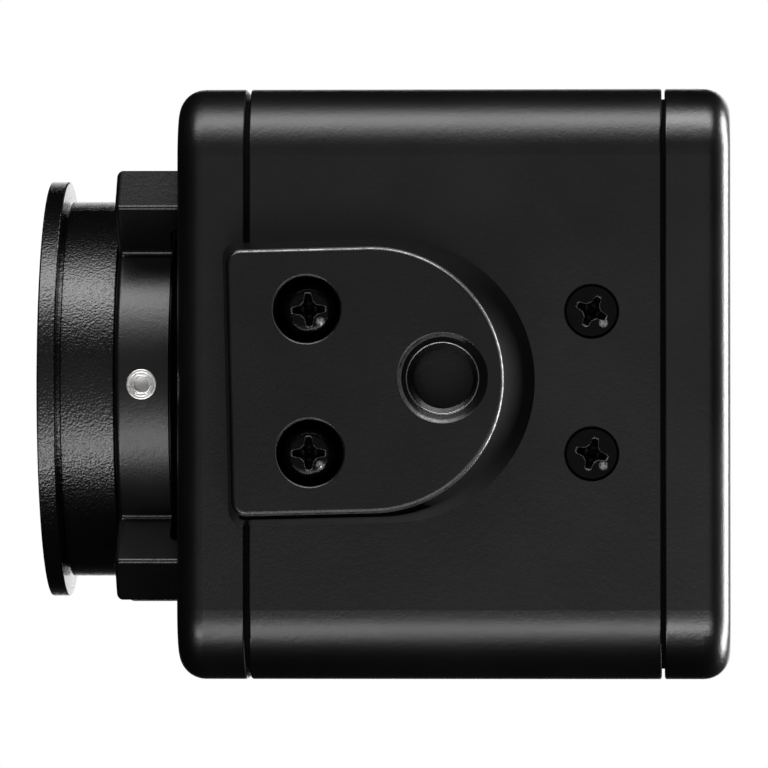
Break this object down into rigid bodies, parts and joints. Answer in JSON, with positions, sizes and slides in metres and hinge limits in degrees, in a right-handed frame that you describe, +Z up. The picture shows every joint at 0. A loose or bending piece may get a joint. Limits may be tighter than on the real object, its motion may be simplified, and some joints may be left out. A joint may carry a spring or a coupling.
{
  "type": "machine vision camera",
  "caption": "Square-bodied industrial camera with a C-mount lens block under a dust cap, network and round sockets at the rear, and a tripod adapter below.",
  "frame": {"origin": "on the tripod adapter's outer face, which the camera stands on, level with the tripod thread's centre and on the body's middle plane", "axes": "+Z up, away from the tripod adapter; -Y the way the lens looks, +Y towards the sockets; +X completes the right-handed frame"},
  "size_m": [0.051, 0.0601, 0.0569],
  "materials": {
    "body_black": "matt black, fine grain",
    "adapter_black": "matt black, fine grain",
    "cap_plastic": "moulded black with a coarse grain",
    "gasket_rubber": "matt",
    "black_screw": "black finished steel",
    "anodised_ring": "black anodised",
    "bright_steel": "bright",
    "bare_aluminium": "milled",
    "filter_glass": "coated",
    "sensor_cover_glass": "clear",
    "ceramic": "dark ceramic",
    "silicon": "polished",
    "circuit_board": "green solder mask",
    "chip_black": "matt",
    "thermal_pad": "soft grey",
    "connector_plastic": "moulded black",
    "plated_shell": "nickel plated",
    "gold_contact": "gold plated",
    "light_pipe": "milky, clear"
  },
  "bodies": {
    "camera_body": {"front_plate": "body_black", "housing": "body_black", "rear_plate": "body_black", "front_gasket": "gasket_rubber", "rear_gasket": "gasket_rubber", "front_plate_screws": "black_screw", "rear_plate_screws": "black_screw", "lens_mount": "body_black", "lens_mount_screws": "black_screw", "ring_set_screws": "bright_steel", "filter_gasket": "gasket_rubber", "filter_glass": "filter_glass", "filter_retainer": "anodised_ring", "image_sensor": "ceramic", "sensor_glass": "sensor_cover_glass", "sensor_die": "silicon", "sensor_board": "circuit_board", "main_board": "circuit_board", "io_board": "circuit_board", "front_spacers": "bright_steel", "rear_spacers": "bright_steel", "io_board_screws": "bright_steel", "memory_chips": "chip_black", "processor_chip": "chip_black", "thermal_pad": "thermal_pad", "heat_spreader": "bare_aluminium", "front_board_connector": "connector_plastic", "rear_board_connector": "connector_plastic", "power_parts": "chip_black", "network_transformer": "chip_black", "network_shell": "plated_shell", "network_insert": "connector_plastic", "network_contacts": "gold_contact", "round_shell": "plated_shell", "round_insert": "connector_plastic", "round_pins": "gold_contact", "light_pipes": "light_pipe", "status_leds": "light_pipe", "tripod_adapter": "adapter_black", "adapter_screws": "black_screw", "plug_screws": "black_screw"},
    "back_focus_ring": {"back_focus_ring": "anodised_ring"},
    "dust_cap": {"dust_cap": "cap_plastic"}
  },
  "joints": [
    {"name": "back_focus_turn", "type": "hinge", "parent": "camera_body", "child": "back_focus_ring", "pos_m": [0, -0.0263, 0.03148], "axis": [0, 1, 0], "range_deg": [-90, 90]},
    {"name": "dust_cap_pull", "type": "slide", "parent": "back_focus_ring", "child": "dust_cap", "axis": [0, -1, 0], "range_m": [0, 0.06]}
  ]
}
